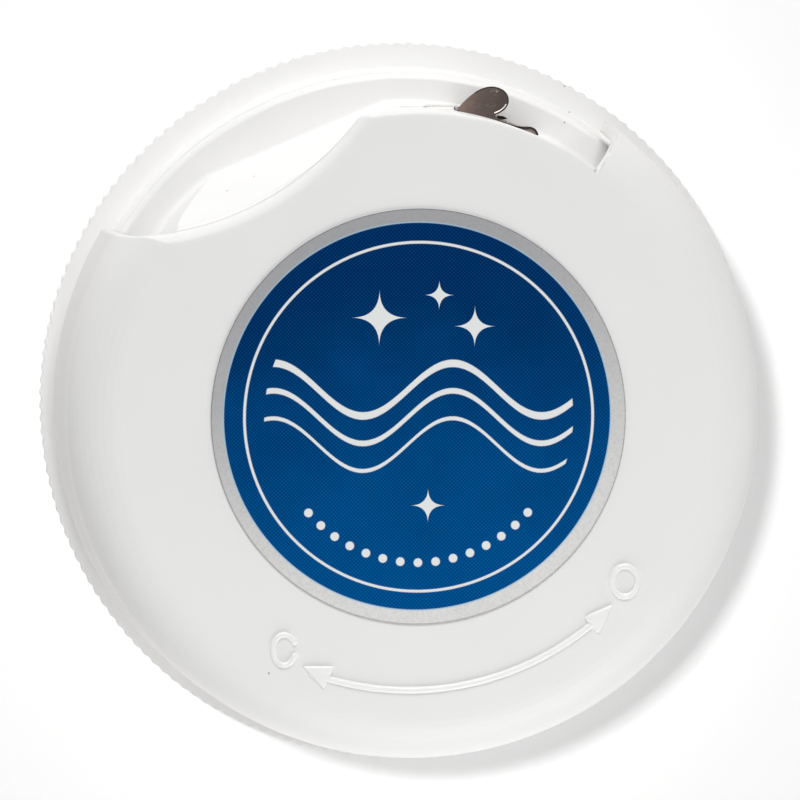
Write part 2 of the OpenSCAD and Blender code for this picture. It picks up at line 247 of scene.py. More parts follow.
# %% [markdown]
# ### The white of the page
# The world is white to the eye and dim as a lamp. The floor is a sheet of white paper on
# a light table: it glows a little of itself, and a little more for the eye, so that it
# is pure white and still holds a shadow. Both ask Light Path who is looking: the camera
# and mirror-like surfaces see white, everything else gets plain light. The panels are
# linked to the part alone, since they would draw long shadows on the paper. The short
# soft shadow at the lower right comes from a softbox high at the upper left, which is
# linked to the paper alone. A small lamp near the left side lights the base alone, where
# the cover's wall keeps the panels off its rim.

# %% World and floor
ROOM_LEVEL = 0.12
FLOOR_GAP = 0.02 * MM
PAPER_HALF, PAPER_WHITE = 2.5, 0.92
PAPER_GLOW, PAPER_SEEN_GLOW = 0.11, 0.31


def eyes(tree):
    """1 for rays of the camera and of glossy or clear surfaces."""
    rays = ("Is Camera Ray", "Is Glossy Ray", "Is Transmission Ray")
    seen, mirrored, through = (Wire.node(tree, "LightPath", out=ray) for ray in rays)
    return (seen + mirrored + through).maths("MINIMUM", 1)


def white_world(level):
    """A world that is white to the eye and lights the part at a level."""
    world = bpy.data.worlds.new("white_room")
    world.use_nodes = True
    tree = world.node_tree
    tree.nodes.clear()
    glow = Wire.node(tree, "Background", values={"Strength": eyes(tree) * (1 - level) + level})
    output = tree.nodes.new("ShaderNodeOutputWorld")
    tree.links.new(glow.socket, output.inputs["Surface"])
    bpy.context.scene.world = world


def white_floor(half, white, glow, seen_glow):
    """A sheet of glowing paper just under the part."""
    mesh = bpy.data.meshes.new("floor")
    corners = [(x, y, -FLOOR_GAP) for x, y in ((-1, -1), (1, -1), (1, 1), (-1, 1))]
    mesh.from_pydata([(x * half, y * half, z) for x, y, z in corners], [], [(0, 1, 2, 3)])
    floor = bpy.data.objects.new("floor", mesh)
    bpy.context.scene.collection.objects.link(floor)
    paper = bpy.data.materials.new("white_paper")
    paper.use_nodes = True
    tree = paper.node_tree
    tree.nodes.clear()
    plain = Wire.node(tree, "BsdfDiffuse", values={"Color": (white, white, white, 1)})
    light = Wire.node(tree, "Emission", values={"Strength": eyes(tree) * seen_glow + glow})
    both = Wire.node(tree, "AddShader", values={0: plain, 1: light})
    output = tree.nodes.new("ShaderNodeOutputMaterial")
    tree.links.new(both.socket, output.inputs["Surface"])
    mesh.materials.append(paper)
    return floor


def link_lamps(lamps, surface, state):
    """Some lamps light only one surface, or all but that one."""
    group = bpy.data.collections.new("lamps_" + state.lower())
    group.objects.link(surface)
    group.collection_objects[0].light_linking.link_state = state
    for made in lamps:
        made.light_linking.receiver_collection = group


white_world(ROOM_LEVEL)
paper = white_floor(PAPER_HALF, PAPER_WHITE, PAPER_GLOW, PAPER_SEEN_GLOW)
softbox = lamp("paper_softbox", 138, 72.3, distance=0.7, size=0.06, level=0.51)
rim_lamp = lamp("rim_lamp", 170, 50, distance=0.085, size=0.04, level=0.12)
link_lamps(panels, paper, "EXCLUDE")
link_lamps([softbox], paper, "INCLUDE")
link_lamps([rim_lamp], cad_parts["knurled_base"], "INCLUDE")
bpy.context.scene.view_settings.view_transform = "Standard"
print("white paper", 2 * PAPER_HALF, "m wide, lit by", softbox.name)

# %% [markdown]
# ## Places and patterns
# All finishes here are worked out from the place on the piece, in millimetres. The
# patterns turn with the cover, need no unwrapping, and stay sharp when seen close, which
# a picture wrapped on the piece would not. These helpers give a place, turn it, and make
# the patterns that the finishes share. A moulded edge is never sharp, and the Bevel node
# turns the light near it as on a rounded edge, where a real bevel would need many faces.

# %% Places and patterns
BEVEL_SAMPLES = 6


def finish(name, body):
    """A material whose surface sockets come from a function of its tree."""
    material = bpy.data.materials.new(name)
    material.use_nodes = True
    tree = material.node_tree
    tree.nodes.clear()
    surface = Wire.node(tree, "BsdfPrincipled", values=body(tree))
    output = tree.nodes.new("ShaderNodeOutputMaterial")
    tree.links.new(surface.socket, output.inputs["Surface"])
    print("finish", name, "has", len(tree.nodes), "nodes")
    return material


def in_mm(tree):
    """The place on the part, in millimetres."""
    place = Wire.node(tree, "TexCoord", out="Object")
    return place.also("VectorMath", {"operation": "SCALE"}, {0: place, "Scale": 1 / MM})


def turned(place, angle):
    """The place, turned about the axis by an angle in degrees."""
    values = {"Vector": place, "Angle": math.radians(angle)}
    return place.also("VectorRotate", {"rotation_type": "Z_AXIS"}, values)


def parts(place):
    """The x, y and z of a place."""
    return [place.also("SeparateXYZ", {}, {0: place}, out=i) for i in range(3)]


def noise(place, size, detail=2, stretch=(1, 1, 1)):
    """Smooth noise about 0.5, whose spots measure about size millimetres."""
    spread = place.also("VectorMath", {"operation": "MULTIPLY"}, {0: place, 1: stretch})
    values = {"Vector": spread, "Scale": 1 / size, "Detail": detail}
    return place.also("TexNoise", {}, values)


def specks(place, spacing, size, share):
    """1 on round specks, which stand in a share of the cells of a loose grid."""
    cell = {"Vector": place, "Scale": 1 / spacing}
    away = place.also("TexVoronoi", {}, cell, out="Distance")
    lot = place.also("TexVoronoi", {}, cell, out="Color")
    drawn = step(parts(lot)[0], 1 - share, 1 - share + 0.001)
    return (1 - step(away, size / spacing * 0.5, size / spacing)) * drawn


def bump(height, depth, over=None):
    """A surface that rises by depth, in metres, where height is 1."""
    values = {"Height": height, "Distance": depth, "Strength": 1}
    return height.also("Bump", {}, values if over is None else {**values, "Normal": over})


def rounded(place, radius):
    """The direction of the surface, softened near its edges."""
    return place.also("Bevel", {"samples": BEVEL_SAMPLES}, {"Radius": radius})


print("patterns are in mm, one unit is", MM, "m")

# %% [markdown]
# ## White plastic
# The base, the drum, the cover and the bobbin are white injection mouldings. A mould
# leaves a satin skin that is never quite even: its gloss drifts over a few millimetres,
# and its surface waves by about a micron. Handling adds hair-fine scratches, and dust
# leaves a few dark specks. One plain material would do for all of them, but then nothing
# would tell them apart. One function makes the finish, and each piece gets its own tint
# and its own wear. The base and the drum are painted a lighter white than the cover, as
# painted light, and the cover's raised marks are smoother and painted lighter still, as a
# painted highlight. Edges look rounded by a tenth to a third of a millimetre.

# %% White plastic
DRIFT_SIZE, SKIN_SIZE, WORN_SIZE = 7, 0.5, 4
HAIR_W, ALONG_X, ALONG_Y = 0.09, (0.05, 1, 1), (1, 0.06, 1)
TINT_DRIFT = 0.015
# Dark tone of the dust specks, which also colours the painted shadow line on the drum.
DUST_AND_SHADE_TONE = (0.25, 0.22, 0.2)
SPECK_SPACING, SPECK_SIZE, SPECK_STRENGTH = 3.1, 0.13, 0.6
SKIN_DEPTH = 0.003 * MM


def white_plastic(name, colour, roughness, scratches, dust, edges, shaded_places=()):
    """A white moulding; edges is the radius in millimetres that they seem to have."""
    def body(tree):
        place = in_mm(tree)
        drift = noise(place, DRIFT_SIZE, 3)
        skin = noise(place, SKIN_SIZE, 2)
        hairs = step(noise(place, HAIR_W, 0, ALONG_X), 0.73, 0.8)
        hairs = hairs + step(noise(place, HAIR_W, 0, ALONG_Y), 0.74, 0.8)
        worn = hairs * step(noise(place, WORN_SIZE), 0.45, 0.65) * scratches
        darker, lighter = (tuple(k * c for c in colour) for k in (1 - TINT_DRIFT, 1 + TINT_DRIFT))
        tint = mix(drift, darker, lighter)
        dusty = specks(place, SPECK_SPACING, SPECK_SIZE, dust)
        tint = mix(dusty * SPECK_STRENGTH, tint, DUST_AND_SHADE_TONE)
        # Painted shade: places darkened because shade lies there, not because the plastic is
        # darker.
        for where, share, shade_tone in shaded_places:
            tint = mix(where(place) * share, tint, shade_tone)
        return {
            "IOR": 1.49,
            "Base Color": tint,
            "Roughness": drift * 0.1 + worn * 0.15 + (roughness - 0.05),
            "Normal": bump(skin * 0.3 - worn, SKIN_DEPTH, rounded(place, edges * MM)),
        }

    return finish(name, body)


def wear(node, material):
    """Gives a piece of the frame its finish."""
    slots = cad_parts[node].data.materials
    slots.clear()
    slots.append(material)


print("a moulding's skin waves by", round(0.3 * SKIN_DEPTH / MM * 1000, 1), "microns")

# %% [markdown]
# ### Painted shade and the five mouldings
# Two places get painted shade. The cover's lower wall is painted a little darker and
# warmer, as the shade on its side, and along the finger recess a thin dark line on the
# drum is the painted shadow of the gap under the cover's edge. Each could be a vertex
# colour, but a solid model has few corners to carry it, so both are masks that are worked
# out from the place.

# %% Painted shade and mouldings
# Place and width of the painted shadow line along the finger recess.
GAP_SHADOW_R, GAP_SHADOW_Y, GAP_SHADOW_Z = 23.93, 46, 18.25
GAP_SHADOW_W = 0.11
# Colour and heights of the painted shade on the cover's lower wall.
WALL_SHADE_TONE = (0.72, 0.7, 0.68)
SHADE_FROM_Z, SHADE_BELOW_Z = 19.3, 13
# The base and the drum are painted a lighter white than the cover, as painted light.
COVER_WHITE = (0.84, 0.835, 0.83)
LIT_WHITE = (0.87, 0.865, 0.855)
HIGHLIGHT_WHITE = (0.885, 0.88, 0.87)
BOBBIN_WHITE = (0.8, 0.81, 0.82)


def gap_shadow_line(place):
    """The thin line along the finger recess, a painted shadow of the gap under the cover's edge.
    """
    x, y, z = parts(place)
    on_top = step(z, GAP_SHADOW_Z - SOFT, GAP_SHADOW_Z + SOFT)
    return line(far(x, y - GAP_SHADOW_Y) - GAP_SHADOW_R, GAP_SHADOW_W) * on_top


def shaded_wall(place):
    """The cover's lower wall, which gets a painted shade."""
    return step(parts(place)[2] * -1, -SHADE_FROM_Z, -SHADE_BELOW_Z)


# The cover's lower wall is painted darker and warmer, as painted shade.
cover_plastic = white_plastic(
    "cover_plastic", COVER_WHITE, roughness=0.48, scratches=0.5, dust=0.12, edges=0.3,
    shaded_places=[(shaded_wall, 0.75, WALL_SHADE_TONE)])
# The raised marks are smoother, and painted a lighter white than the cover as a painted
# highlight.
raised_plastic = white_plastic(
    "raised_plastic", HIGHLIGHT_WHITE, roughness=0.34, scratches=0.2, dust=0, edges=0.1)
# The drum gets a thin painted shadow line where the cover's edge stands over it.
drum_plastic = white_plastic(
    "drum_plastic", LIT_WHITE, roughness=0.38, scratches=0.3, dust=0.6, edges=0.35,
    shaded_places=[(gap_shadow_line, 0.42, DUST_AND_SHADE_TONE)])
base_plastic = white_plastic(
    "base_plastic", LIT_WHITE, roughness=0.42, scratches=0.3, dust=0.8, edges=0.2)
bobbin_plastic = white_plastic(
    "bobbin_plastic", BOBBIN_WHITE, roughness=0.5, scratches=0.1, dust=0, edges=0.2)
wear("turning_cover", cover_plastic)
wear("inner_drum", drum_plastic)
wear("knurled_base", base_plastic)
wear("bobbin", bobbin_plastic)

# %% [markdown]
# ## Foil label
# The label is a disc of silver foil under blue ink, which leaves a plain silver ring. A
# picture wrapped on it would be quick, but it would blur when seen close. Here the print
# is worked out from the place on the disc: a distance to a line or a ring becomes ink
# where it is small. The design is a plain one for floss: three waving threads that cross
# the disc, a thin ring, a row of beads and some sparkles. It is laid out upright in the
# picture, so the place is turned first.

# %% Print on the label
LABEL_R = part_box("front_label")[1][0] / MM
INK_R = LABEL_R - 1.2
INK_SHIFT = (-0.12, 0.035)
RING_R, RING_W = 14.6, 0.22
FIELD_R = 13
THREADS = ((2.3, 0.62), (0, 0.46), (-2.3, 0.32))  # rise, width
WAVE_LENGTH, WAVE_START, WAVE_HEIGHT = 15, 0.4, 2.2
BEAD_RING, BEAD_R = 12.2, 0.36
BEAD_EVERY, BEAD_REACH = math.radians(7), math.radians(52)
SPARKLES = (((-3.4, 8.3), 2.4), ((1.6, 10.2), 1.3), ((4.6, 7.6), 1.8), ((0.8, -7.4), 1.5))


def thread(x, y, rise, width):
    """A thread that waves across the label."""
    wave = (x * (math.tau / WAVE_LENGTH) + WAVE_START).maths("SINE") * WAVE_HEIGHT
    return line(y - rise - wave, width)


def beads(x, y, ring, every, size, reach):
    """A row of beads on a ring, round the bottom of the label."""
    angle = x.maths("ARCTAN2", y * -1)
    along = ((angle / every + 0.5).maths("FLOORED_MODULO", 1) - 0.5) * (every * ring)
    bead = 1 - step(far(along, far(x, y) - ring), size - SOFT, size + SOFT)
    return bead * (1 - step(abs(angle), reach, reach + 0.01))


def sparkle(x, y, middle, size):
    """A star with four points and hollow sides."""
    across, up = abs(x - middle[0]).maths("SQRT"), abs(y - middle[1]).maths("SQRT")
    return 1 - step(across + up, size ** 0.5 - 0.04, size ** 0.5 + 0.02)


def white_ink(x, y):
    """1 where the label is printed white."""
    away = far(x, y)
    ink = line(away - RING_R, RING_W)
    field = 1 - step(away, FIELD_R - 2 * SOFT, FIELD_R)
    for rise, width in THREADS:
        ink = ink.maths("MAXIMUM", thread(x, y, rise, width) * field)
    row = beads(x, y, BEAD_RING, BEAD_EVERY, BEAD_R, BEAD_REACH)
    ink = ink.maths("MAXIMUM", row)
    for middle, size in SPARKLES:
        ink = ink.maths("MAXIMUM", sparkle(x, y, middle, size))
    return ink


print("label radius", round(LABEL_R, 2), "mm, ink to", round(INK_R, 2), "mm")

# %% [markdown]
# ### Ink and foil
# Printed foil keeps its sheen under the ink, so the whole label is mostly a metal. Its
# blue is painted darker towards the top and lighter towards the bottom, as a painted
# reflection, and the ink lies in a fine diagonal screen of light and dark dots. A clear
# coat over a blue foil would be truer to how it is printed, but one surface whose share
# of metal changes looks the same, with fewer settings. The white ink is opaque and rough.

# %% Ink and foil
DEEP_BLUE = ((0, 0.0097, 0.065), (0, 0.043, 0.187))
LIGHT_BLUE = ((0, 0.1, 0.33), (0, 0.2, 0.55))
# The two colours of the silver ring are a painted reflection, darker at the top and lighter at
# the bottom.
SILVER = ((0.4, 0.402, 0.415), (0.8, 0.795, 0.785))
# The grain is the foil's own mottle; the second colour is a painted shadow at the label's edge.
SILVER_GRAIN, EDGE_SHADOW_GREY = (0.2, 0.2, 0.21), (0.08, 0.08, 0.085)
HAIRLINE = (0.35, 0.6, 0.8)
WHITE_INK = (0.8, 0.82, 0.82)
SCREEN = 0.32
SHADE_ACROSS, SHADE_DOWN, SHADE_DRIFT = 0.004, 0.055, 0.8
INK_DEPTH = 0.004 * MM


def label_foil():
    """Silver foil under blue ink, with the white print on it."""
    def body(tree):
        place = in_mm(tree)
        upright = turned(place, PICTURE_TURN)
        x, y, _ = parts(upright)
        drift = noise(place, 6, 3) - 0.5
        # Painted reflection: the blue is darker towards the top and lighter towards the bottom.
        shade = x * SHADE_ACROSS - y * SHADE_DOWN + drift * SHADE_DRIFT
        painted_reflection = step(shade + 0.48, -0.35, 1.35)
        rows, columns = ((c * (math.tau / SCREEN)).maths("SINE") for c in (x, y))
        blue = mix(rows * columns * 0.25 + 0.25, mix(painted_reflection, *DEEP_BLUE), mix(painted_reflection, *LIGHT_BLUE))
        # Painted reflection: the silver ring darkens towards the top.
        silver = mix(step(y - x * 0.3 + drift * 6, LABEL_R, -LABEL_R), *SILVER)
        silver = mix(step(noise(place, 0.22, 3), 0.35, 0.7) * 0.13, silver, SILVER_GRAIN)
        # Painted shadow: a thin dark line round the label's edge, where its thickness casts
        # shade.
        silver = mix(line(far(x, y) - LABEL_R, 0.16) * 0.45, silver, EDGE_SHADOW_GREY)
        ink_edge = far(x - INK_SHIFT[0], y - INK_SHIFT[1]) - INK_R
        inked = 1 - step(ink_edge, -SOFT, SOFT)
        colour = mix(inked, silver, blue)
        colour = mix(line(ink_edge - 0.04, 0.1) * 0.7, colour, HAIRLINE)
        white = white_ink(x, y) * inked
        colour = mix(white, colour, WHITE_INK)
        return {
            "Specular IOR Level": 0.03,
            "Base Color": colour,
            "Metallic": (1 - white) * 0.8,
            "Roughness": drift * 0.1 + white * 0.25 + 0.3,
            "Normal": bump(white * 0.6 + noise(place, 1.4), INK_DEPTH),
        }

    return finish("label_foil", body)


wear("front_label", label_foil())

# %% [markdown]
# ## Cutter steel
# The cutter is punched from thin spring steel, hardened and left with the brown tint of
# tempering. It shows the rolling direction as fine streaks, and its colour goes from warm
# at the tongue through nearly black to a paler brown at the curled end. A gradient along
# the world's axes would cross the plate at a slant, so the place is turned until x runs
# along it. The tongue also gets a paler patch.

# %% Cutter steel
CUTTER_DIR = 40.4
CUTTER_W = 7.2
TEMPER = [(0, (0.3, 0.21, 0.18)), (0.2, (0.165, 0.125, 0.112)), (0.5, (0.105, 0.084, 0.077)),
          (0.62, (0.13, 0.11, 0.1)), (1, (0.2, 0.16, 0.145))]
BRONZE, SOOT, PALE_PATCH = (0.32, 0.27, 0.22), (0.03, 0.025, 0.023), (0.5, 0.45, 0.38)
PATCH, PATCH_R = (-1, 27.85), 0.55
STREAK_DEPTH = 0.004 * MM


def cutter_steel():
    """Tempered steel, streaked along the plate."""
    def body(tree):
        place = in_mm(tree)
        plate = turned(place, 90 - CUTTER_DIR)
        x, y, _ = parts(plate)
        streaks = noise(plate, 0.12, 3, (0.12, 1, 1))
        drift = noise(place, 0.9, 3)
        along = x / CUTTER_W + 0.5 + (drift - 0.5) * 0.12
        tint = along.also("ValToRGB", {"stops": TEMPER}, {0: along})
        tint = mix(step(drift, 0.55, 0.75) * 0.35, tint, BRONZE)
        tint = mix(streaks * 0.3, tint, SOOT)
        # A paler patch on the tongue.
        patch = 1 - step(far(x - PATCH[0], (y - PATCH[1]) * 1.6), 0.2 * PATCH_R, PATCH_R)
        tint = mix(step(noise(place, 0.22, 2), 0.48, 0.6) * patch * 0.6, tint, PALE_PATCH)
        return {
            "Metallic": 1,
            "IOR": 2.5,
            "Base Color": tint,
            "Roughness": streaks * 0.2 + 0.24,
            "Normal": bump(streaks, STREAK_DEPTH),
        }

    return finish("cutter_steel", body)


wear("floss_cutter", cutter_steel())

# %% [markdown]
# ## Raised marks
# Low marks on the cover show which way it turns: a curved arrow with two heads, a broken
# ring where it is shut and a whole ring where it is open. They stand a quarter of a
# millimetre above the face. They could be painted with bump, but then they would have no
# edge against the light, so they are built: rounded bars are swept along a path, and the
# heads are flat plates with sloping sides. Each sinks a little into the face.

# %% Pieces from corners
def piece(name, points, faces, material, body, slot):
    """A new piece from corners in millimetres, which moves with a body."""
    mesh = bpy.data.meshes.new(name)
    mesh.from_pydata([tuple(MM * c for c in p) for p in np.asarray(points).tolist()], [], faces)
    work = bmesh.new()
    work.from_mesh(mesh)
    bmesh.ops.recalc_face_normals(work, faces=work.faces)
    for face in work.faces:
        face.smooth = True
    work.to_mesh(mesh)
    work.free()
    mesh.materials.append(material)
    made = bpy.data.objects.new(name, mesh)
    bpy.context.scene.collection.objects.link(made)
    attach(made, body)
    print("piece", name, "has", len(mesh.polygons), "faces")
    return made


def grid_faces(rows, columns, round_rows=False, round_columns=True):
    """Four-sided faces between the rows of a grid of corners."""
    faces = []
    for i in range(rows if round_rows else rows - 1):
        for k in range(columns if round_columns else columns - 1):
            a, b = i * columns, (i + 1) % rows * columns
            faces.append((a + k, b + k, b + (k + 1) % columns, a + (k + 1) % columns))
    return faces


def caps(rows, columns):
    """The two end faces of a grid whose rows are closed."""
    last = (rows - 1) * columns
    return [tuple(range(columns)), tuple(last + k for k in reversed(range(columns)))]


def joined(*shapes):
    """Several shapes as one set of corners and faces."""
    points, faces = [], []
    for some, theirs in shapes:
        shift = sum(len(p) for p in points)
        points.append(np.asarray(some, float))
        faces += [tuple(i + shift for i in face) for face in theirs]
    return np.concatenate(points), faces


def at(radius, angle):
    """A place at a radius and an angle of the part, in degrees."""
    return radius * math.cos(math.radians(angle)), radius * math.sin(math.radians(angle))


print("two rows of four corners make a box of", len(grid_faces(2, 4) + caps(2, 4)), "faces")

# %% [markdown]
# ### Bars and plates
# A bar is a row of arches along its path, which get lower towards a round end. A curve
# with a bevel would give the same tube, but not its flat foot. A plate is its outline,
# drawn in a little more for each level of its sloping side.

# %% Bars and plates on the face
SINK = 0.03
ARCH_STEPS, ARCH_FULLNESS = 9, 0.85
END_BEND = np.radians([88, 66, 44, 22])
CORNER_STEPS = 5


def unit(vectors):
    """Vectors of length 1 in the same directions."""
    return vectors / np.linalg.norm(vectors, axis=-1, keepdims=True)


def bar(path, width, height, closed=False, ground=FACE_Z / MM):
    """A rounded bar along a path, on the cover's face or on another ground."""
    path = np.asarray(path, float)
    thin = np.ones(len(path))
    if not closed:
        first, last = unit(path[0] - path[1]), unit(path[-1] - path[-2])
        start = [path[0] + first * math.sin(a) * width / 2 for a in END_BEND]
        end = [path[-1] + last * math.sin(a) * width / 2 for a in END_BEND[::-1]]
        path = np.vstack([start, path, end])
        thin = np.concatenate([np.cos(END_BEND), thin, np.cos(END_BEND[::-1])])
    along = np.roll(path, -1, 0) - np.roll(path, 1, 0)
    if not closed:
        along[0], along[-1] = path[1] - path[0], path[-1] - path[-2]
    along = unit(along)
    side = np.stack([-along[:, 1], along[:, 0]], 1)
    arch = np.linspace(0, math.pi, ARCH_STEPS)
    across = (np.cos(arch) * width / 2)[None, :, None] * thin[:, None, None]
    flat = path[:, None] + side[:, None] * across
    arch_rise = np.sin(arch)[None] ** ARCH_FULLNESS
    rise = ground - SINK + (height * thin[:, None] + SINK) * arch_rise
    points = np.concatenate([flat, rise[:, :, None]], 2).reshape(-1, 3)
    faces = grid_faces(len(path), len(arch), closed)
    return points, faces if closed else faces + caps(len(path), len(arch))


def curve(a, b, c, t):
    """Places on the curve from a to c that leans towards b."""
    return a * (1 - t) ** 2 + b * 2 * t * (1 - t) + c * t ** 2


def plate(corners, round_share, height, inset, ground=FACE_Z / MM):
    """A flat-topped plate with rounded corners and sloping sides."""
    corners = np.asarray(corners, float)
    outline = []
    for i, corner in enumerate(corners):
        beside = (corners[i - 1], corners[(i + 1) % len(corners)])
        before, after = (corner + (other - corner) * round_share for other in beside)
        outline += [curve(before, corner, after, t) for t in np.linspace(0, 1, CORNER_STEPS)]
    outline = np.array(outline)
    middle = outline.mean(0)
    slope = ((0, -SINK), (0.2, 0.5 * height), (0.6, 0.9 * height), (1, height))
    rows = []
    for share, z in slope:
        ring = middle + (outline - middle) * (1 - inset * share)
        rows.append(np.column_stack([ring, np.full(len(ring), ground + z)]))
    faces = grid_faces(len(slope), len(outline)) + caps(len(slope), len(outline))
    return np.concatenate(rows), faces


print("bars and plates stand on z =", FACE_Z / MM, "mm")

# %% [markdown]
# ### Arrow and rings
# The arrow runs on an arc whose middle lies a little behind the cover's, and its heads
# point along it. The rings are upright ovals, and the broken one opens to the right.

# %% Arrow and rings
MARK_H = 0.24
ARROW_R = 24.07
ARROW_MIDDLE = (0.12, 1.24)
ARROW_REACH = (-142.5, -80.5)
SHAFT_W, SHUT_W, OPEN_W = 0.58, 0.5, 0.55
SHUT_HEAD = [at(23.01, -147.3), at(21.95, -140.4), at(24.2, -141.1)]
OPEN_HEAD = [at(22.83, -75.6), at(21.89, -82.75), at(23.92, -82.45)]
HEAD_ROUND, HEAD_INSET = 0.12, 0.3


def on_arrow(angle):
    """A place on the arrow's shaft."""
    x, y = at(ARROW_R, angle)
    return x + ARROW_MIDDLE[0], y + ARROW_MIDDLE[1]


def oval(middle, half, start, end, steps):
    """Points on an oval that stands upright in the picture."""
    points = []
    for angle in np.radians(np.linspace(start, end, steps)):
        x, y = half[0] * math.cos(angle), half[1] * math.sin(angle)
        turn = math.radians(PICTURE_TURN)
        points.append((middle[0] + x * math.cos(turn) + y * math.sin(turn),
                       middle[1] - x * math.sin(turn) + y * math.cos(turn)))
    return points


def raised(name, shape):
    """A raised mark that turns with the cover."""
    piece(name, *shape, raised_plastic, "cover", "cover_plastic")


shaft = bar([on_arrow(a) for a in np.linspace(*ARROW_REACH, 60)], SHAFT_W, MARK_H)
heads = [plate(head, HEAD_ROUND, MARK_H, HEAD_INSET) for head in (SHUT_HEAD, OPEN_HEAD)]
raised("turn_arrow", joined(shaft, *heads))
broken_ring = oval((-19.87, -10.53), (0.95, 1.28), 28, 338, 44)
whole_ring = oval((7.38, -21.06), (1.1, 1.28), 0, 352.5, 48)
raised("shut_mark", bar(broken_ring, SHUT_W, MARK_H))
raised("open_mark", bar(whole_ring, OPEN_W, MARK_H, closed=True))

# %% [markdown]
# ## Edges of the cutter
# The rim of the tongue and the lip of the curled end are painted nearly black, as painted
# shade on the plate's thin edges and the shadow beside them, and the spur is nearly black
# too. The lower side of the tongue is ground to bare steel, whose bright line is partly a
# painted highlight. The inside of the curled end and the plate under the spur are paler.
# These could be painted by place on one material, but their edges are finer than its
# noise, so they are thin layers laid on the plate. They are drawn in the plate's own
# directions, x along it and y out from the axis.

# %% Edges of the cutter
CUTTER_TOP = 10.3
LAYER_H, LAYER_ROUND, LAYER_INSET = 0.02, 0.3, 0.1
BEND_STEPS = 12
LAYER_STREAK_DEPTH = 0.003 * MM
# The first colour is painted shade for the plate's edges; the second is bare steel made bright as
# a painted highlight.
EDGE_SHADE_BLACK, BARE_STEEL_HIGHLIGHT, PALE = (0.018, 0.015, 0.014), (0.75, 0.7, 0.66), (0.3, 0.25, 0.225)
TONGUE = [(-3.6, 25.62), (-2.48, 28.28), (-0.9, 28.28), (0.14, 28.28), (0.36, 27.35),
          (0.4, 26.63), (-0.4, 26.02)]
CURL = [(1, 25.62), (2.09, 25.62), (2.81, 25.96), (3.35, 25.96), (3.6, 25.55)]
SPUR = [(-0.36, 26), (0.3, 26.12), (0.7, 26.03), (0.3, 25.84), (-0.1, 25.78)]
UNDER_SPUR = [(-0.2, 25.62), (-0.05, 25.8), (0.7, 25.86), (0.75, 25.66)]
IN_CURL = [(1.75, 25.45), (2.4, 25.6), (2.9, 25.78), (3.3, 25.76), (3.52, 25.5),
           (3.2, 25.28), (2.6, 25.3)]


def on_plate(x, y):
    """A place beside the cutter's plate: x along it, y out from the axis."""
    turn = math.radians(CUTTER_DIR - 90)
    return x * math.cos(turn) - y * math.sin(turn), x * math.sin(turn) + y * math.cos(turn)


def bend(a, b, c, start=0):
    """A row of points on the curve from a to c, which may start further along it."""
    t = np.linspace(start, 1, BEND_STEPS)[:, None]
    return curve(*(np.array(place, float) for place in (a, b, c)), t)


def edge(path, width, inset):
    """A thin layer along an edge, moved in from it."""
    along = unit(np.gradient(path, axis=0))
    moved = path + np.stack([along[:, 1], -along[:, 0]], 1) * inset
    return bar([on_plate(*p) for p in moved], width, LAYER_H, ground=CUTTER_TOP)


def layer(corners, level):
    """A thin flat layer over the plate, from its corners."""
    outline = [on_plate(*p) for p in corners]
    return plate(outline, LAYER_ROUND, LAYER_H, LAYER_INSET, ground=level)


def edge_steel(name, colour, roughness):
    """Steel for the thin layers at the cutter's edges, streaked along the plate."""
    def body(tree):
        place = in_mm(tree)
        streaks = noise(turned(place, 90 - CUTTER_DIR), 0.1, 3, (0.2, 1, 1))
        darker, lighter = (tuple(k * c for c in colour) for k in (0.7, 1.3))
        return {
            "Metallic": 1,
            "Base Color": mix(streaks, darker, lighter),
            "Roughness": streaks * 0.2 + roughness,
            "Normal": bump(streaks, LAYER_STREAK_DEPTH),
        }

    return finish(name, body)


def on_cutter(name, shape, steel):
    """A layer that stays with the housing."""
    piece(name, *shape, steel, "housing", "cutter_steel")


rim = np.vstack([bend(*TONGUE[:3], 0.4), bend(*TONGUE[2:5])[1:], bend(*TONGUE[4:7])[1:]])
lip = np.vstack([[(0.2, 25.62)], bend(*CURL[:3]), bend(*CURL[2:])[1:]])
# Painted shade: nearly black layers along the tongue's rim and the curled end's lip, and over the
# spur.
edge_shade_layers = joined(edge(rim, 0.1, 0.04), edge(lip, 0.17, 0.07), layer(SPUR, CUTTER_TOP))
on_cutter("shaded_cutter_edge", edge_shade_layers, edge_steel("edge_shade_steel", EDGE_SHADE_BLACK, 0.35))
# Bare ground steel along the tongue's lower side, made so light that it is partly a painted
# highlight.
ground_highlight_line = edge(bend(*TONGUE[4:7], 0.2), 0.13, 0.16)
on_cutter("ground_highlight_edge", ground_highlight_line, edge_steel("ground_highlight_steel", BARE_STEEL_HIGHLIGHT, 0.2))
pale = joined(layer(UNDER_SPUR, CUTTER_TOP - 0.05), layer(IN_CURL, CUTTER_TOP - 0.1))
on_cutter("pale_steel_layer", pale, edge_steel("pale_steel", PALE, 0.4))

# %% [markdown]
# ## Floss
# Floss is a loose twist of fine fibres, held together by wax. The strand comes off the
# winding, goes out through the drum's wall and along it, and ends under the cutter's
# tongue. The solid model holds a plain round rod in its place; here it becomes three
# plies that twist round each other. Each ply is a tube round a path, and the path is the
# strand's own with a turning offset, which is simpler than a screw modifier on a curve
# and follows any bend.

# %% Twisted strand
FLOSS_D = 0.3
FLOSS_Z = 9.9
LEAVE_R, LEAVE_DIR = 17.55, 101.74
WALL_R, WALL_DIR = 25.795, 54.61
PLATE_OUT, FLOSS_HOLD = 25.816, 1.6
PLIES, TWIST = 3, 1.15
PLY_AWAY, PLY_R = 0.25 * FLOSS_D, 0.27 * FLOSS_D
STRAND_STEP, SOFTENINGS = 0.08, 12
WAXED, UNWAXED = (0.8, 0.8, 0.775), (0.88, 0.88, 0.865)
FIBRE_DEPTH = 0.012 * MM
UP = (0, 0, 1)


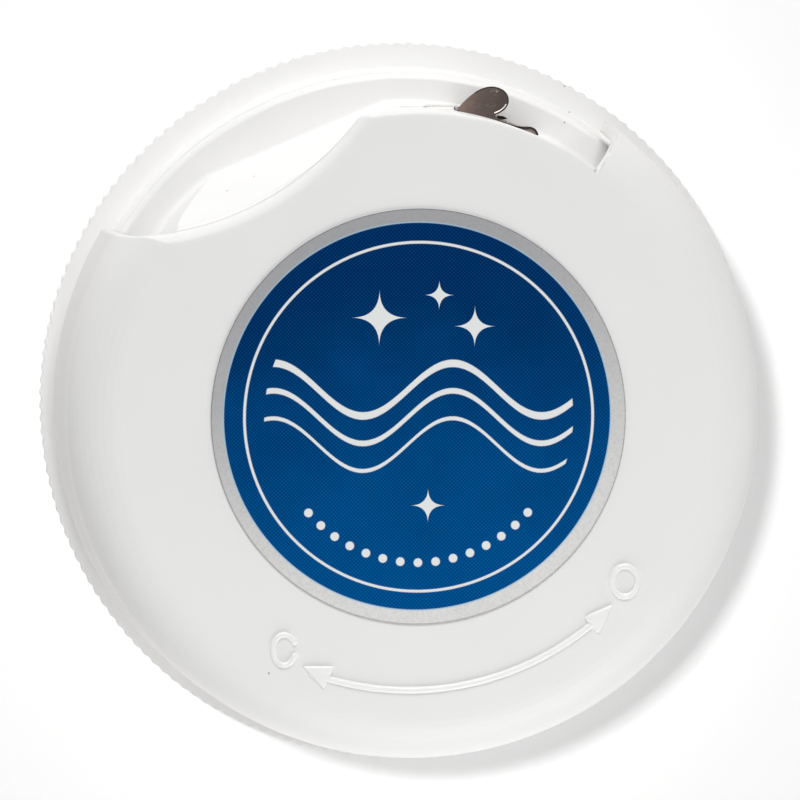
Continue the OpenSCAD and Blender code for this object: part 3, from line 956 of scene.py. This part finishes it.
def even(path, spacing):
    """The same path with evenly spaced points, softened at its corners."""
    path = np.asarray(path, float)
    length = np.concatenate([[0], np.cumsum(np.linalg.norm(np.diff(path, axis=0), axis=1))])
    places = np.linspace(0, length[-1], int(length[-1] / spacing) + 1)
    dense = np.stack([np.interp(places, length, path[:, i]) for i in range(path.shape[1])], 1)
    for _ in range(SOFTENINGS):
        dense[1:-1] = (dense[:-2] + 2 * dense[1:-1] + dense[2:]) / 4
    return dense


def frames(path, up):
    """Directions across and above a path; up is near the second one."""
    along = unit(np.gradient(path, axis=0))
    side = unit(np.cross(along, up))
    return side, np.cross(side, along)


def tube(path, up, radius, sides):
    """A closed round tube along a path."""
    side, above = frames(path, up)
    turn = np.linspace(0, math.tau, sides, endpoint=False)[None, :, None]
    around = side[:, None] * np.cos(turn) + above[:, None] * np.sin(turn)
    rings = path[:, None] + radius * around
    return rings.reshape(-1, 3), grid_faces(len(path), sides) + caps(len(path), sides)


def floss_fibre():
    """White fibres, yellowish where the wax is thick."""
    def body(tree):
        place = in_mm(tree)
        fibres = noise(place, 0.035, 2)
        wax = noise(place, 0.6, 2)
        return {
            "IOR": 1.5,
            "Sheen Weight": 0.15,
            "Base Color": mix(wax, WAXED, UNWAXED),
            "Roughness": wax * 0.2 + 0.35,
            "Normal": bump(fibres, FIBRE_DEPTH),
        }

    return finish("floss_fibre", body)


floss_finish = floss_fibre()
route = [at(LEAVE_R, LEAVE_DIR), at(WALL_R, WALL_DIR), on_plate(-CUTTER_W / 2, PLATE_OUT),
         on_plate(FLOSS_HOLD - CUTTER_W / 2, PLATE_OUT)]
middle = even([(*p, FLOSS_Z) for p in route], STRAND_STEP)
side, above = frames(middle, UP)
spin = np.arange(len(middle)) * STRAND_STEP / TWIST * math.tau
plies = []
for i in range(PLIES):
    turn = (spin + math.tau * i / PLIES)[:, None]
    ply = middle + (side * np.cos(turn) + above * np.sin(turn)) * PLY_AWAY
    plies.append(tube(ply, UP, PLY_R, sides=8))
strand = piece("floss_strand", *joined(*plies), floss_finish, "housing", "floss_fibre")
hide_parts("floss_lead")
print("strand is", round(len(middle) * STRAND_STEP, 1), "mm long")

# %% [markdown]
# ### Wound floss
# The rest of the floss lies on the bobbin in close turns that swell a little at the
# middle. The outer layer is one unbroken strand in a tight screw line round a core that
# stands for the layers under it. Its pitch is a strand's width, and wanders a little as
# floss does when a machine winds it.

# %% Wound floss
HUB_R, WOUND_R, SWELL = 6, 17, 0.25
WANDER, WANDER_RATE = 0.05, 0.37
TURN_STEPS, CORE_STEPS, LEVELS = 72, 96, 25
WOUND_LOW, WOUND_HIGH = (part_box("floss_winding")[i][2] / MM for i in (0, 1))


def wound_r(z):
    """Radius of the winding at a height."""
    share = (z - WOUND_LOW) / (WOUND_HIGH - WOUND_LOW) * 2 - 1
    return WOUND_R + SWELL * (1 - share ** 2)


turns = (WOUND_HIGH - WOUND_LOW - FLOSS_D) / FLOSS_D
angle = np.linspace(0, math.tau * turns, int(turns * TURN_STEPS))
wander = WANDER * np.sin(angle * WANDER_RATE) * np.sin(angle / turns / 2)
height = WOUND_LOW + FLOSS_D / 2 + angle / math.tau * FLOSS_D + wander
radius = wound_r(height) - FLOSS_D / 2
outward = np.stack([np.cos(angle), np.sin(angle), np.zeros(len(angle))], 1)
screw = outward * radius[:, None] + np.array(UP) * height[:, None]
levels = np.linspace(WOUND_LOW, WOUND_HIGH, LEVELS)
outside = [(wound_r(z) - 0.6 * FLOSS_D, z) for z in levels]
section = [(HUB_R, WOUND_LOW), *outside, (HUB_R, WOUND_HIGH)]
around = np.linspace(0, math.tau, CORE_STEPS, endpoint=False)
core = np.array([[(r * math.cos(a), r * math.sin(a), z) for r, z in section] for a in around])
core = core.reshape(-1, 3), grid_faces(len(around), len(section), round_rows=True)
wound = piece("wound_floss", *joined(tube(screw, outward, FLOSS_D / 2, 6), core),
              floss_finish, "spool", "floss_fibre")
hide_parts("floss_winding")
print("outer layer has", round(turns), "turns")
